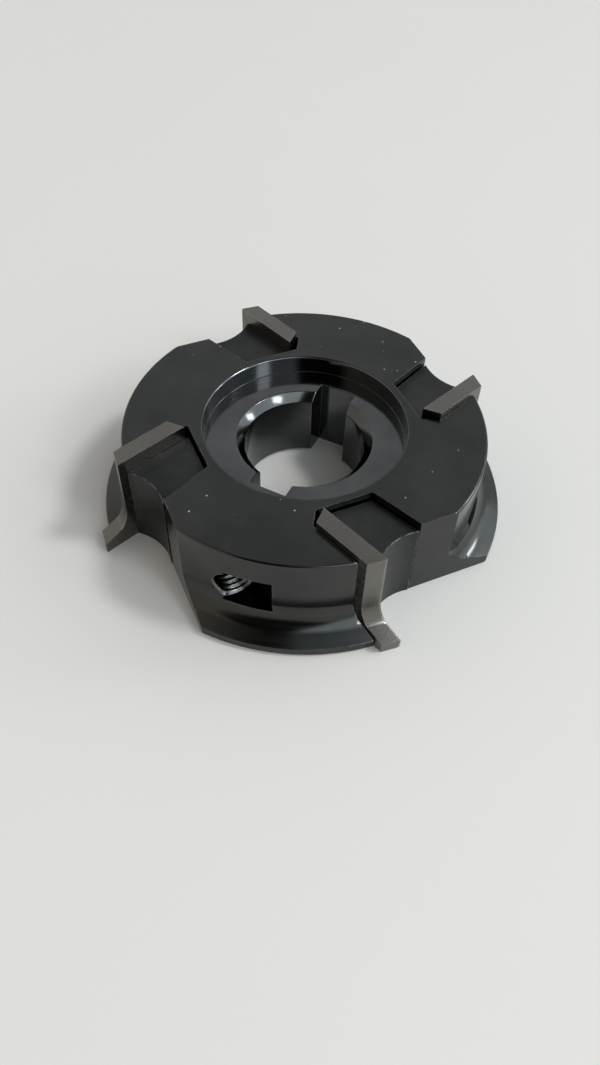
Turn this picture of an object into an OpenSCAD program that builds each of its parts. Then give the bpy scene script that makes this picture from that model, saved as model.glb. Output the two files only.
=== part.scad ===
// Profile milling head: a flanged steel body with four wings. Each wing gap holds a profile
// knife, a wedge in front of it and a set screw that presses the wedge against the knife.
// Millimetres. Origin on the bore axis at the bottom face, +Z towards the counterbored top.

/* [Body] */
// Diameter of the upper wall
body_d = 59.4; // [58:0.2:72]
// How far the bottom rim stands out from the wall
rim_out = 4.5; // [4:0.1:7]
// Height of the body
body_h = 16.2; // [14:0.1:20]
// Height of the rim's upright edge
rim_h = 1.6; // [1:0.05:2.5]
// Radius between the wall and the rim's slope
flare_r = 4.4; // [3:0.1:5]
// Slope of the rim's upper side, in degrees below level
flare_slope = 27; // [15:1:35]
// Bevel on the top and bottom outer edges
edge_bevel = 0.25; // [0.1:0.05:0.6]

/* [Bore] */
// Bore diameter
bore_d = 20; // [16:0.1:24]
// Bevel at the upper end of the bore
bore_bevel = 1.35; // [0.5:0.05:1.6]
// Bevel at the lower end of the bore
bore_foot_bevel = 0.5; // [0.2:0.1:1]
// Counterbore diameter
counterbore_d = 33.3; // [30:0.1:34]
// Counterbore depth
counterbore_depth = 3.2; // [2:0.1:4]
// Bevel on the counterbore's edge
counterbore_bevel = 0.2; // [0.1:0.05:0.5]
// Width of the two keyways
keyway_w = 6.4; // [4:0.1:7.6]
// Depth of the keyways below the bore
keyway_depth = 3.2; // [2:0.1:4]
// Direction of the keyways about the axis
keyway_angle = 65; // [0:0.5:90]

/* [Wings] */
// How far the flat behind each gullet lies inside the upper wall
flat_inset = 3.3; // [2:0.1:4]
// Turn of that flat from the knife plane's direction
flat_turn = -19.8; // [-26:0.1:-15]
// Distance of the gap's far wall from the knife plane's diameter
gap_wall = 2.95; // [2:0.05:3.5]
// Tilt of the far wall
gap_wall_tilt = 4.9; // [0:0.1:8]
// Wall between the counterbore and the gaps
hub_wall = 1.6; // [1:0.1:2.5]
// Slant of the gap's inner wall
gap_inner_tilt = 19.6; // [10:0.1:24]
// How far past the cutting face's plane the inner wall runs
gap_corner = 0.6; // [0.2:0.1:1]
// Free space between the knife's inner end and the body
knife_end_gap = 0.9; // [0.6:0.1:1.6]

/* [Knives] */
// Thickness of a knife
knife_t = 2.9; // [2:0.1:3.5]
// Distance of the cutting face from the diameter it is parallel to
rake_offset = 11.3; // [10:0.1:12]
// Slant of the knife's inner end
knife_end_slant = 24.5; // [0:0.5:35]
// How far the upright edge stands out from the upper wall
knife_out = 1.3; // [0.8:0.05:2.5]
// How far the foot reaches past the upright edge
foot_out = 4.85; // [4:0.05:7]
// Height of the foot's upright end
foot_h = 2.05; // [1.2:0.05:3]
// Height where the upright edge starts to curve out
curve_start = 7; // [5.5:0.1:8]
// Radius of the edge's long curve
curve_r = 6; // [5:0.1:8]
// Turn of the long curve
curve_turn = 36; // [25:1:45]
// Radius of the corner above the foot
corner_r = 1.2; // [0.6:0.1:1.6]
// Slope of the foot's upper side
foot_slope = 10; // [0:1:15]
// Relief angle behind the cutting edge
relief = 23.3; // [10:0.1:28]
// How far the knives stand above the body
knife_rise = 1.1; // [0.4:0.1:2]

/* [Wedges] */
// How far the wedges lie below the body's top
wedge_drop = 1.4; // [0.5:0.1:2.5]
// Gap between a wedge and the gap's far wall
wedge_side_gap = 0.2; // [0.1:0.05:0.4]
// Gap between a wedge and the gap's inner wall
wedge_end_gap = 0.3; // [0.1:0.05:0.6]
// Radius of the hollow in a wedge's outer face
gullet_r = 8.8; // [7:0.1:10]
// How far the hollow's deepest line lies inside the upper wall
gullet_inset = 3.5; // [3:0.1:5]
// Offset of the hollow's deepest line from the knife plane's diameter
gullet_offset = 6.7; // [5.5:0.1:8]

/* [Screws] */
// Thread diameter of the set screws
screw_d = 6; // [5:0.1:7.2]
// Length of the set screws
screw_l = 12; // [8:0.5:13]
// Width of the hexagon socket
hex_w = 3; // [2.5:0.1:3.2]
// Depth of the hexagon socket
hex_depth = 3.5; // [2:0.1:5]
// Radial clearance of a screw in its hole
screw_clear = 0.05; // [0.02:0.01:0.1]
// Tilt of the screw axes from square to the knives
screw_tilt = 15; // [12:0.5:18]
// Wall between the counterbore and the screw holes
screw_wall = 1.6; // [1:0.1:2.2]
// Height of the screw axes
screw_z = 8.2; // [7:0.1:9]
// Depth of the seat that a screw's tip has in its wedge
tip_depth = 1.3; // [1.2:0.05:1.8]
// Clearance around a screw's tip in its seat
seat_clear = 0.2; // [0.1:0.05:0.4]
// Depth of the access pocket below the upper wall, along the screw axis
pocket_depth = 2.5; // [1.5:0.1:4]
// How far the pocket's three walls stand off the screw hole
pocket_margin = 0.15; // [0.1:0.05:0.5]

/* [Pins] */
// Diameter of the locating pins
pin_d = 2.5; // [2:0.1:3]
// How deep a pin sits in the body
pin_seat = 4; // [3:0.1:4.5]
// How far a pin stands into its knife
pin_out = 1.4; // [1:0.1:1.6]
// Place of the pins along a knife
pin_along = 19.5; // [19:0.1:21]
// Height of the lower pin
lower_pin_z = 5; // [4:0.1:6]
// Height of the upper pin
upper_pin_z = 11.5; // [10:0.1:12]
// Clearance around a pin in its groove
pin_clear = 0.06; // [0.02:0.01:0.1]
// Free space between a pin's end and its groove's floor
pin_end_gap = 0.1; // [0.05:0.05:0.3]

/* [Hidden] */

$fn = 96;
body_r = body_d / 2;
rim_r = body_r + rim_out;
bore_r = bore_d / 2;
counterbore_r = counterbore_d / 2;
keyway_reach = bore_r + keyway_depth;
floor_z = body_h - counterbore_depth;
flat_reach = body_r - flat_inset;
gap_start = sqrt(pow(counterbore_r + hub_wall, 2) - pow(gap_wall, 2));
knife_top = body_h + knife_rise;
knife_start = inner_wall_x(-rake_offset) + knife_end_gap;
land_reach = sqrt(pow(body_r + knife_out, 2) - pow(rake_offset, 2));
foot_reach = land_reach + foot_out;
seat_offset = rake_offset + knife_t;
gullet_reach = body_r - gullet_inset;
// Flush faces stay this far apart
skin = 0.02;
// Cutting shapes run this far past the solids
over = 1;
far = rim_r + 6;
first_angle = 45;
step_angle = 90;
screw_r = screw_d / 2;
screw_hole_r = screw_r + screw_clear;
screw_reach = counterbore_r + screw_wall + screw_hole_r;
screw_tip = far_wall_y(screw_reach) / cos(screw_tilt) + screw_reach * tan(screw_tilt) - tip_depth;
pocket_r = screw_hole_r + pocket_margin;
pocket_floor = sqrt(pow(body_r, 2) - pow(screw_reach, 2)) - pocket_depth;
thread_bevel = 0.5;
pin_bevel = 0.3;
flare_z = rim_h + ((rim_r - body_r - flare_r) * sin(flare_slope) + flare_r) / cos(flare_slope);

function along(angle, reach) = [reach * cos(angle), reach * sin(angle)];
function arc(centre, r, from, to, steps) =
    [for (i = [0 : steps]) centre + along(from + (to - from) * i / steps, r)];

// Where the gap's walls run, in a knife's own frame: x along the knife, y square to it
function far_wall_y(x) = -gap_wall + (x - gap_start) * tan(gap_wall_tilt);
function inner_wall_x(y) = gap_start + (y + gap_wall) * tan(gap_inner_tilt);

// Repeats a shape at one of the four knife places
module place(i) {
    rotate([0, 0, first_angle + step_angle * (i - 1)]) children();
}

// Puts a shape that stands on z = 0 onto a screw axis, with its foot at a distance along it
module on_screw_axis(distance) {
    rotate([0, 0, -screw_tilt])
        translate([screw_reach, distance, screw_z])
            rotate([-90, 0, 0]) children();
}

module body_profile() {
    corner = [body_r + flare_r * (1 - sin(flare_slope)), flare_z - flare_r * cos(flare_slope)];
    difference() {
        polygon([
            [0, 0],
            [rim_r - edge_bevel, 0],
            [rim_r, edge_bevel],
            [rim_r, rim_h],
            corner,
            [body_r, flare_z],
            [body_r, body_h - edge_bevel],
            [body_r - edge_bevel, body_h],
            [0, body_h]
        ]);
        translate([body_r + flare_r, flare_z]) circle(r = flare_r);
    }
}

module bore_profile() {
    polygon([
        [0, -over],
        [bore_r + bore_foot_bevel + over, -over],
        [bore_r + bore_foot_bevel + over, 0],
        [bore_r + bore_foot_bevel, 0],
        [bore_r, bore_foot_bevel],
        [bore_r, floor_z - bore_bevel],
        [bore_r + bore_bevel, floor_z],
        [counterbore_r, floor_z],
        [counterbore_r, body_h - counterbore_bevel],
        [counterbore_r + counterbore_bevel, body_h],
        [counterbore_r + counterbore_bevel, body_h + over],
        [0, body_h + over]
    ]);
}

module keyways() {
    rotate([0, 0, keyway_angle])
        translate([-keyway_reach, -keyway_w / 2, -over])
            cube([2 * keyway_reach, keyway_w, body_h + 2 * over]);
}

// Plan of the gap for one knife and wedge, with the flat cut behind it
module gap_plan() {
    corner_y = -rake_offset - gap_corner;
    knife_back_start = knife_start + knife_t * tan(knife_end_slant);
    polygon([
        [gap_start, far_wall_y(gap_start)],
        [inner_wall_x(corner_y), corner_y],
        [knife_back_start - knife_end_gap / 2, -seat_offset - skin],
        [far, -seat_offset - skin],
        [far, far_wall_y(far)]
    ]);
    rotate(flat_turn)
        translate([flat_reach, -far])
            intersection() {
                square([far, 2 * far]);
                translate([-flat_reach, far]) rotate(-flat_turn)
                    polygon([
                        [gap_start, far_wall_y(gap_start)],
                        [far, far_wall_y(far)],
                        [far, far],
                        [gap_start, far]
                    ]);
            }
}

module screw_hole() {
    on_screw_axis(0) cylinder(r = screw_hole_r, h = far);
    on_screw_axis(pocket_floor - pocket_margin)
        cylinder(r1 = screw_hole_r, r2 = pocket_r, h = pocket_margin);
    rotate([0, 0, -screw_tilt])
        translate([screw_reach - pocket_r, pocket_floor, screw_z - pocket_r])
            cube([far, far, 2 * pocket_r]);
}

module pin_hole(z) {
    translate([pin_along, -seat_offset + over, z]) rotate([90, 0, 0])
        cylinder(r = pin_d / 2, h = pin_seat + over);
}

module cutter_body() {
    color([0.10, 0.10, 0.11])
    difference() {
        rotate_extrude() body_profile();
        rotate_extrude() bore_profile();
        keyways();
        for (i = [1 : 4]) {
            place(i) {
                translate([0, 0, -over]) linear_extrude(height = body_h + 2 * over) gap_plan();
                screw_hole();
                pin_hole(lower_pin_z);
                pin_hole(upper_pin_z);
            }
        }
    }
}

// Outline of a knife's cutting face: x along the knife, y upwards
function knife_outline() =
    let (curve_centre = [land_reach + curve_r, curve_start],
         curve_end = curve_centre + along(180 + curve_turn, curve_r),
         corner_from = 180 + curve_turn,
         corner_to = 270 - foot_slope,
         corner_centre = curve_end - along(corner_from, corner_r),
         corner_end = corner_centre + along(corner_to, corner_r))
    concat(
        [[0, 0], [0, knife_top], [land_reach, knife_top]],
        arc(curve_centre, curve_r, 180, 180 + curve_turn, 8),
        arc(corner_centre, corner_r, corner_from, corner_to, 6),
        [[foot_reach, foot_h], [foot_reach, 0]]
    );

module knife(i) {
    color([0.60, 0.60, 0.56])
    place(i)
    difference() {
        intersection() {
            translate([0, -seat_offset, 0]) cube([far, knife_t, knife_top]);
            // Slanted so that the whole edge has its relief
            rotate([0, 0, -relief])
                translate([rake_offset * sin(relief), far, 0])
                    rotate([90, 0, 0]) linear_extrude(height = 2 * far)
                        polygon([for (p = knife_outline()) [p.x * cos(relief), p.y]]);
        }
        translate([knife_start, -rake_offset, -over])
            rotate([0, 0, knife_end_slant])
                translate([-far, -far, 0]) cube([far, 2 * far, knife_top + 2 * over]);
        pin_groove();
    }
}

// Groove in a knife's back, open at the bottom, so that the knife lifts off its two pins
module pin_groove() {
    r = pin_d / 2 + pin_clear;
    depth = pin_out + pin_end_gap;
    translate([pin_along, -seat_offset + depth, upper_pin_z]) rotate([90, 0, 0])
        cylinder(r = r, h = depth + over);
    translate([pin_along - r, -seat_offset - over, -over])
        cube([2 * r, depth + over, upper_pin_z + over]);
}

module wedge_plan() {
    side = -wedge_side_gap;
    outer = gullet_reach + gullet_r;
    difference() {
        polygon([
            [gap_start + wedge_end_gap, far_wall_y(gap_start) + side],
            [inner_wall_x(-rake_offset) + wedge_end_gap, -rake_offset + skin],
            [outer, -rake_offset + skin],
            [outer, far_wall_y(outer) + side]
        ]);
        translate([outer, -gullet_offset]) circle(r = gullet_r);
    }
}

module wedge(i) {
    seat_r = screw_r + seat_clear;
    color([0.16, 0.16, 0.17])
    place(i)
    difference() {
        linear_extrude(height = body_h - wedge_drop) wedge_plan();
        on_screw_axis(screw_tip) cylinder(r = seat_r, h = far);
        // Groove below the seat, so that the wedge lifts off the screw's tip
        rotate([0, 0, -screw_tilt])
            translate([screw_reach - seat_r, screw_tip, -over])
                cube([2 * seat_r, far, screw_z + over]);
    }
}

module clamp_screw(i) {
    color([0.20, 0.20, 0.21])
    place(i)
    on_screw_axis(screw_tip + skin)
    difference() {
        rotate_extrude()
            polygon([
                [0, 0],
                [screw_r - thread_bevel, 0],
                [screw_r, thread_bevel],
                [screw_r, screw_l - thread_bevel],
                [screw_r - thread_bevel, screw_l],
                [0, screw_l]
            ]);
        translate([0, 0, screw_l - hex_depth])
            cylinder(d = hex_w / cos(30), h = hex_depth + over, $fn = 6);
    }
}

module pin(i, z) {
    length = pin_seat + pin_out;
    color([0.70, 0.70, 0.72])
    place(i)
    translate([pin_along, -seat_offset + pin_out, z]) rotate([90, 0, 0])
    rotate_extrude()
        polygon([
            [0, 0],
            [pin_d / 2 - pin_bevel, 0],
            [pin_d / 2, pin_bevel],
            [pin_d / 2, length - pin_bevel],
            [pin_d / 2 - pin_bevel, length],
            [0, length]
        ]);
}

cutter_body();
knife(1);  // knife_1
knife(2);  // knife_2
knife(3);  // knife_3
knife(4);  // knife_4
wedge(1);  // wedge_1
wedge(2);  // wedge_2
wedge(3);  // wedge_3
wedge(4);  // wedge_4
clamp_screw(1);  // clamp_screw_1
clamp_screw(2);  // clamp_screw_2
clamp_screw(3);  // clamp_screw_3
clamp_screw(4);  // clamp_screw_4
pin(1, lower_pin_z);  // lower_pin_1
pin(2, lower_pin_z);  // lower_pin_2
pin(3, lower_pin_z);  // lower_pin_3
pin(4, lower_pin_z);  // lower_pin_4
pin(1, upper_pin_z);  // upper_pin_1
pin(2, upper_pin_z);  // upper_pin_2
pin(3, upper_pin_z);  // upper_pin_3
pin(4, upper_pin_z);  // upper_pin_4
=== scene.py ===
import math

import bmesh
import bpy
from mathutils import Matrix, Vector


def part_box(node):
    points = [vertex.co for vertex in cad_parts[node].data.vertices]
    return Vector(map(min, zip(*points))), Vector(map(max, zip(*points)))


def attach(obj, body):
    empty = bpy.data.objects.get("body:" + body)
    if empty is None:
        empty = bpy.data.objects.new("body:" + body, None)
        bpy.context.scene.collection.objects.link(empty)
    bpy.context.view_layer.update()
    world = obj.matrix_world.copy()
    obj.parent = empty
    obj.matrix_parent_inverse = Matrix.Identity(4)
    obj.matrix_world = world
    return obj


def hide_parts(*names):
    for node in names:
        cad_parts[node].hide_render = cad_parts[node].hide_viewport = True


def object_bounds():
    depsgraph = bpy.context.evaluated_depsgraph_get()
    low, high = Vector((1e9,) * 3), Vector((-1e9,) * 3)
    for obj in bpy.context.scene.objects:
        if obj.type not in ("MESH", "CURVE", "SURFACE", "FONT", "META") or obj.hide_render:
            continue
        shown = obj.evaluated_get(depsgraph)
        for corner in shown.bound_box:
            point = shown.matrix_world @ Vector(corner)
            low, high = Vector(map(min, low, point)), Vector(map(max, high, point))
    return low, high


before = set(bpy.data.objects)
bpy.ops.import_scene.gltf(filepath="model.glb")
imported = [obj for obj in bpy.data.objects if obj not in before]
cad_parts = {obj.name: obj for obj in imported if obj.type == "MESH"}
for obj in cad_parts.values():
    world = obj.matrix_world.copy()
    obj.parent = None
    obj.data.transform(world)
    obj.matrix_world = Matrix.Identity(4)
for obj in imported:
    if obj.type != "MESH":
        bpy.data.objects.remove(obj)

bl_info = {
    "name": "Profile milling head",
    "version": (1, 0, 0),
    "blender": (4, 5, 0),
    "location": "3D View > Sidebar > Milling head",
    "description": "Builds the pieces of a four-knife profile milling head and its stage",
    "category": "Mesh",
}

MM = 0.001
PLACES = (1, 2, 3, 4)
FIRST_ANGLE = math.radians(45)
STEP_ANGLE = math.radians(90)
CAD_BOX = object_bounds()
BODY_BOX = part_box("cutter_body")
KNIFE_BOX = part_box("knife_1")
WEDGE_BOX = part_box("wedge_1")
# Flush faces stay this far apart, and cutting shapes run this far past the solids
SKIN = 0.02 * MM
OVER = 1 * MM
FAR = CAD_BOX[1].x + 6 * MM
# How finely round shapes are divided
BODY_STEPS = 240
HOLE_STEPS = 64
SEAT_STEPS = 56
SCREW_STEPS = 48
SMALL_STEPS = 40
RINGS_PER_PITCH = 10
# In degrees: corners that are broken, corners that are shaded sharp, those of a thread,
# and seams between faces that count as flat
BROKEN_CORNER = 28
SHARP_CORNER = 38
THREAD_CORNER = 32
FLAT_CORNER = 0.4
# Points closer than this become one
MERGE = 0.004 * MM
# Places of the body's other finishes, of the pockets' painted shade, and of a knife's land, among
# a piece's materials
TURNED, TAPPED, POCKET, SATIN = 1, 2, 3, 4
LAND = 1
# How far a tapped wall starts past its gap, reaches into the body and stays inside its hole
LINER_START = 0.9 * MM
LINER_OVERLAP = 0.08 * MM
LINER_INSET = 0.01 * MM
# Cosine from which a mouth's chamfer widens towards the wall, and the rise that it takes
WIDENS_FROM = 0.2
WIDENS_OVER = 0.5
# Shares of a pitch that a thread's crest and its two flanks take up
CREST_SHARE = 0.14
FLANK_SHARE = 0.72
# Light that has come less far than this passes through the floor
UNDERSIDE_REACH = 10 * SKIN
LIGHT_DISTANCE = 0.6
# Most of a noise texture's values lie between these
NOISE_LOW = 0.3
NOISE_HIGH = 0.7


# Sizes and colours that a user may set

def length(label, text, default):
    """A size, given in millimetres and kept in metres."""
    return bpy.props.FloatProperty(
        name=label, description=text, default=default * MM, min=0, max=0.1,
        unit="LENGTH", precision=5)


def slant(label, text, default):
    """An angle, given in degrees."""
    return bpy.props.FloatProperty(
        name=label, description=text, default=math.radians(default), subtype="ANGLE")


def colour(label, text, default):
    """A linear colour."""
    return bpy.props.FloatVectorProperty(
        name=label, description=text, default=default, size=3, min=0, max=1,
        subtype="COLOR")


def share(label, text, default, high=1.0):
    """A plain number from nought."""
    return bpy.props.FloatProperty(
        name=label, description=text, default=default, min=0, max=high)


class BodySizes(bpy.types.PropertyGroup):
    """Sizes of the cutter body"""
    wall_diameter: length("Wall diameter", "Diameter of the upper wall", 59.4)
    rim_height: length("Rim height", "Height of the rim's upright edge", 1.6)
    flare_radius: length("Flare radius", "Radius between wall and rim slope", 4.4)
    flare_slope: slant("Flare slope", "Slope of the rim's upper side", 27)
    edge_bevel: length("Edge bevel", "Bevel on the outer edges", 0.25)
    bore_diameter: length("Bore diameter", "Diameter of the bore", 20)
    bore_bevel: length("Bore bevel", "Bevel at the bore's upper end", 1.35)
    foot_bevel: length("Foot bevel", "Bevel at the bore's lower end", 0.5)
    counterbore_diameter: length("Counterbore", "Diameter of the counterbore", 33.3)
    counterbore_depth: length("Counterbore depth", "Depth of the counterbore", 3.2)
    counterbore_bevel: length("Counterbore bevel", "Bevel on its edge", 0.2)
    keyway_width: length("Keyway width", "Width of the two keyways", 6.4)
    keyway_depth: length("Keyway depth", "Depth below the bore", 3.2)
    keyway_angle: slant("Keyway angle", "Direction of the keyways", 65)
    flat_inset: length("Flat inset", "How far the flats lie inside the wall", 3.3)
    flat_turn: slant("Flat turn", "Turn of the flats from the knives", -19.8)
    gap_wall: length("Gap wall", "Offset of the gap's far wall", 2.95)
    gap_tilt: slant("Gap tilt", "Tilt of the gap's far wall", 4.9)
    hub_wall: length("Hub wall", "Wall between counterbore and gaps", 1.6)
    gap_inner_tilt: slant("Inner tilt", "Slant of the gap's inner wall", 19.6)
    gap_corner: length("Gap corner", "Run of the inner wall past the knife face", 0.6)
    fine_bevel: length("Fine bevel", "Broken edge on every corner", 0.11)


class KnifeSizes(bpy.types.PropertyGroup):
    """Sizes of the knives"""
    thickness: length("Thickness", "Thickness of a knife", 2.9)
    rake_offset: length("Rake offset", "Offset of the cutting face", 11.3)
    end_gap: length("End gap", "Free space behind the inner end", 0.9)
    end_slant: slant("End slant", "Slant of the inner end", 24.5)
    stand_out: length("Stand-out", "How far the edge stands out from the wall", 1.3)
    foot_out: length("Foot", "How far the foot reaches past the edge", 4.85)
    foot_height: length("Foot height", "Height of the foot's end", 2.05)
    curve_start: length("Curve start", "Height where the edge curves out", 7)
    curve_radius: length("Curve radius", "Radius of the long curve", 6)
    curve_turn: slant("Curve turn", "Turn of the long curve", 36)
    corner_radius: length("Corner radius", "Radius above the foot", 1.2)
    foot_slope: slant("Foot slope", "Slope of the foot's upper side", 10)
    relief: slant("Relief", "Relief behind the cutting edge", 23.3)
    land_width: length("Land", "Width of the finely ground land", 0.4)
    land_relief: slant("Land relief", "Relief of the finely ground land", 13)
    edge_break: length("Edge break", "Broken edge on a knife", 0.05)
    groove_depth: length("Groove depth", "Depth of the pin groove", 1.5)
    groove_width: length("Groove width", "Width of the pin groove", 2.62)
    groove_along: length("Groove place", "Place of the groove along a knife", 19.5)
    groove_top: length("Groove top", "Height of the groove's upper end", 11.5)


class WedgeSizes(bpy.types.PropertyGroup):
    """Sizes of the wedges"""
    side_gap: length("Side gap", "Gap to the far wall", 0.2)
    end_gap: length("End gap", "Gap to the inner wall", 0.3)
    hollow_radius: length("Hollow radius", "Radius of the outer face", 8.8)
    hollow_inset: length("Hollow inset", "Inset of its deepest line", 3.5)
    hollow_offset: length("Hollow offset", "Offset of its deepest line", 6.7)
    seat_clearance: length("Seat clearance", "Clearance around a screw's tip", 0.2)
    edge_break: length("Edge break", "Broken edge on a wedge", 0.12)


class ScrewSizes(bpy.types.PropertyGroup):
    """Sizes of the set screws and their tapped holes"""
    diameter: length("Diameter", "Thread diameter", 6)
    length: length("Length", "Length of a screw", 12)
    pitch: length("Pitch", "Pitch of the thread", 1)
    thread_depth: length("Thread depth", "Depth of the thread", 0.46)
    thread_gap: length("Thread gap", "Gap between the two threads", 0.06)
    clearance: length("Clearance", "Radial clearance of the hole", 0.05)
    socket_width: length("Socket width", "Width of the hexagon socket", 3)
    socket_depth: length("Socket depth", "Depth of the hexagon socket", 3.5)
    tilt: slant("Tilt", "Tilt of the screw axes", 15)
    hole_wall: length("Hole wall", "Wall between counterbore and screw hole", 1.6)
    height: length("Height", "Height of the screw axes", 8.2)
    tip_depth: length("Tip depth", "Depth of the tip's seat", 1.3)
    pocket_depth: length("Pocket depth", "Depth of the access pocket", 2.5)
    pocket_margin: length("Pocket margin", "Stand-off of the pocket's walls", 0.15)
    mouth_chamfer: length("Mouth chamfer", "Chamfer where a tapped hole meets the wall", 0.38)
    pin_diameter: length("Pin diameter", "Diameter of the locating pins", 2.5)
    pin_seat: length("Pin seat", "Depth of a pin's hole", 4)
    pin_along: length("Pin place", "Place of the pins along a knife", 19.5)
    lower_pin: length("Lower pin", "Height of the lower pin", 5)
    upper_pin: length("Upper pin", "Height of the upper pin", 11.5)


class Finishes(bpy.types.PropertyGroup):
    """Colours of the finishes, with the painted shade of the pockets"""
    black_steel: colour("Black steel", "Blackened steel", (0.05, 0.0525, 0.052))
    black_worn: colour("Worn black steel", "Blackened steel where it has worn",
                       (0.068, 0.07, 0.068))
    # Painted shade: the pockets' two colours are far darker than the black steel and stand in for
    # the shade inside these recesses; the mottle between them is random tone
    pocket_painted_shade: colour("Pocket black", "Milled pockets, thick with black", (0.012, 0.013, 0.013))
    pocket_painted_shade_mottled: colour("Oily black", "Milled pockets where oil lies", (0.02, 0.021, 0.022))
    turned_steel: colour("Turned steel", "Bare turned steel of the bore", (0.08, 0.085, 0.087))
    turned_pale: colour("Pale turned steel", "Turned steel where it is cleaner",
                        (0.125, 0.131, 0.134))
    wedge_steel: colour("Wedge steel", "Blackened steel of the wedges", (0.036, 0.039, 0.04))
    # The knives' colours carry a warm tint that is a painted reflection of the warm floor; their
    # lightness is the ground steel's own
    ground_steel: colour("Ground steel", "Ground faces of the knives", (0.19, 0.184, 0.166))
    ground_dull: colour("Dull ground steel", "Ground faces where they are duller",
                        (0.155, 0.15, 0.136))
    land_steel: colour("Land steel", "Finely ground land of the knives", (0.28, 0.274, 0.255))
    screw_steel: colour("Screw steel", "Set screws", (0.14, 0.14, 0.15))
    pin_steel: colour("Pin steel", "Locating pins", (0.5, 0.5, 0.51))
    bare_edge: colour("Bare edge", "Steel where an edge has worn bare", (0.42, 0.42, 0.42))
    dust: colour("Dust", "Dust that lies on flat faces", (0.62, 0.62, 0.6))
    floor: colour("Floor", "The floor", (0.7, 0.692, 0.67))


class StageSizes(bpy.types.PropertyGroup):
    """Places of the camera and the lights"""
    distance: bpy.props.FloatProperty(
        name="Distance", description="Camera to the middle of the top face",
        default=139.25 * MM, min=0.02, unit="LENGTH")
    elevation: slant("Elevation", "Camera above the horizon", 42.98)
    pan: slant("Pan", "Turn of the camera to the side", 0.352)
    tilt: slant("Tilt", "Turn of the camera upwards", 7.40)
    roll: slant("Roll", "Turn of the camera about its own axis", -2.28)
    lens: bpy.props.FloatProperty(
        name="Lens", description="Focal length in millimetres", default=28.64,
        min=10, max=200)
    sky: share("Sky", "Brightness of the surroundings", 0.66, 5)
    window: share("Window", "Brightness of the tall window to the right", 1.7, 5)
    sun: share("Sun", "Strength of the main light", 1.05, 50)
    box: share("Soft boxes", "Radiance of the two soft boxes", 13.0, 50)


SETTINGS = {
    "mill_body": BodySizes,
    "mill_knife": KnifeSizes,
    "mill_wedge": WedgeSizes,
    "mill_screw": ScrewSizes,
    "mill_finish": Finishes,
    "mill_stage": StageSizes,
}


# Geometry that several pieces share

class Layout:
    """Places that follow from the sizes, in a knife's own frame:
    x runs along the knife, y square to it, z up."""

    def __init__(self, scene):
        body, knife, screw = scene.mill_body, scene.mill_knife, scene.mill_screw
        self.body, self.knife, self.screw, self.wedge = body, knife, screw, scene.mill_wedge
        self.body_r = body.wall_diameter / 2
        self.counterbore_r = body.counterbore_diameter / 2
        self.height = BODY_BOX[1].z
        self.floor_z = self.height - body.counterbore_depth
        hub_r = self.counterbore_r + body.hub_wall
        self.gap_start = math.sqrt(hub_r ** 2 - body.gap_wall ** 2)
        self.seat = knife.rake_offset + knife.thickness
        self.knife_start = self.inner_wall_x(-knife.rake_offset) + knife.end_gap
        edge_r = self.body_r + knife.stand_out
        self.land_reach = math.sqrt(edge_r ** 2 - knife.rake_offset ** 2)
        self.foot_reach = self.land_reach + knife.foot_out
        self.screw_r = screw.diameter / 2
        self.hole_r = self.screw_r + screw.clearance
        self.screw_reach = self.counterbore_r + screw.hole_wall + self.hole_r
        self.pocket_r = self.hole_r + screw.pocket_margin
        self.pocket_floor = (math.sqrt(self.body_r ** 2 - self.screw_reach ** 2)
                             - screw.pocket_depth)
        self.screw_tip = (self.far_wall_y(self.screw_reach) / math.cos(screw.tilt)
                          + self.screw_reach * math.tan(screw.tilt) - screw.tip_depth)

    def far_wall_y(self, x):
        return -self.body.gap_wall + (x - self.gap_start) * math.tan(self.body.gap_tilt)

    def inner_wall_x(self, y):
        return self.gap_start + (y + self.body.gap_wall) * math.tan(self.body.gap_inner_tilt)

    def mouth_height(self, turn, radius):
        """Where a tapped hole ends along its axis: at its pocket's floor or the body's wall."""
        across = self.screw_reach + radius * math.cos(turn)
        wall = math.sqrt(self.body_r ** 2 - across ** 2)
        return min(self.pocket_floor, wall)

    def mouth_chamfer(self, turn):
        """Width of the chamfer around a tapped hole, wider where it breaks through the wall."""
        share_out = min(max((math.cos(turn) - WIDENS_FROM) / WIDENS_OVER, 0), 1)
        margin = self.screw.pocket_margin - 2 * SKIN
        return margin + share_out * (self.screw.mouth_chamfer - margin)

    def in_mouth(self, point):
        """Whether a point lies at a pocket or at the mouth of a tapped hole."""
        room = self.screw.mouth_chamfer
        for number in PLACES:
            local = self.tilted(number).inverted() @ point
            across = local.x - self.screw_reach
            if (-self.pocket_r - room < across < self.hole_r + 2 * room
                    and abs(local.z - self.screw.height) < self.pocket_r + room
                    and local.y > self.screw_tip + self.screw.length / 2):
                return True
        return False

    def tilted(self, number):
        """Turns a shape in a screw's plan frame to one of the four places."""
        return place(number) @ Matrix.Rotation(-self.screw.tilt, 4, "Z")

    def screw_axis(self):
        """Turns a shape that stands on z = 0 onto the screw axis."""
        return (Matrix.Rotation(-self.screw.tilt, 4, "Z")
                @ Matrix.Translation((self.screw_reach, 0, self.screw.height))
                @ Matrix.Rotation(math.radians(-90), 4, "X"))


def place(number):
    """Turns a shape in a knife's own frame to one of the four places."""
    return Matrix.Rotation(FIRST_ANGLE + STEP_ANGLE * (number - 1), 4, "Z")


def arc(centre, radius, start, end, steps):
    """Points along an arc, angles in radians."""
    turn = (end - start) / steps
    return [(centre[0] + radius * math.cos(start + turn * i),
             centre[1] + radius * math.sin(start + turn * i)) for i in range(steps + 1)]


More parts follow.
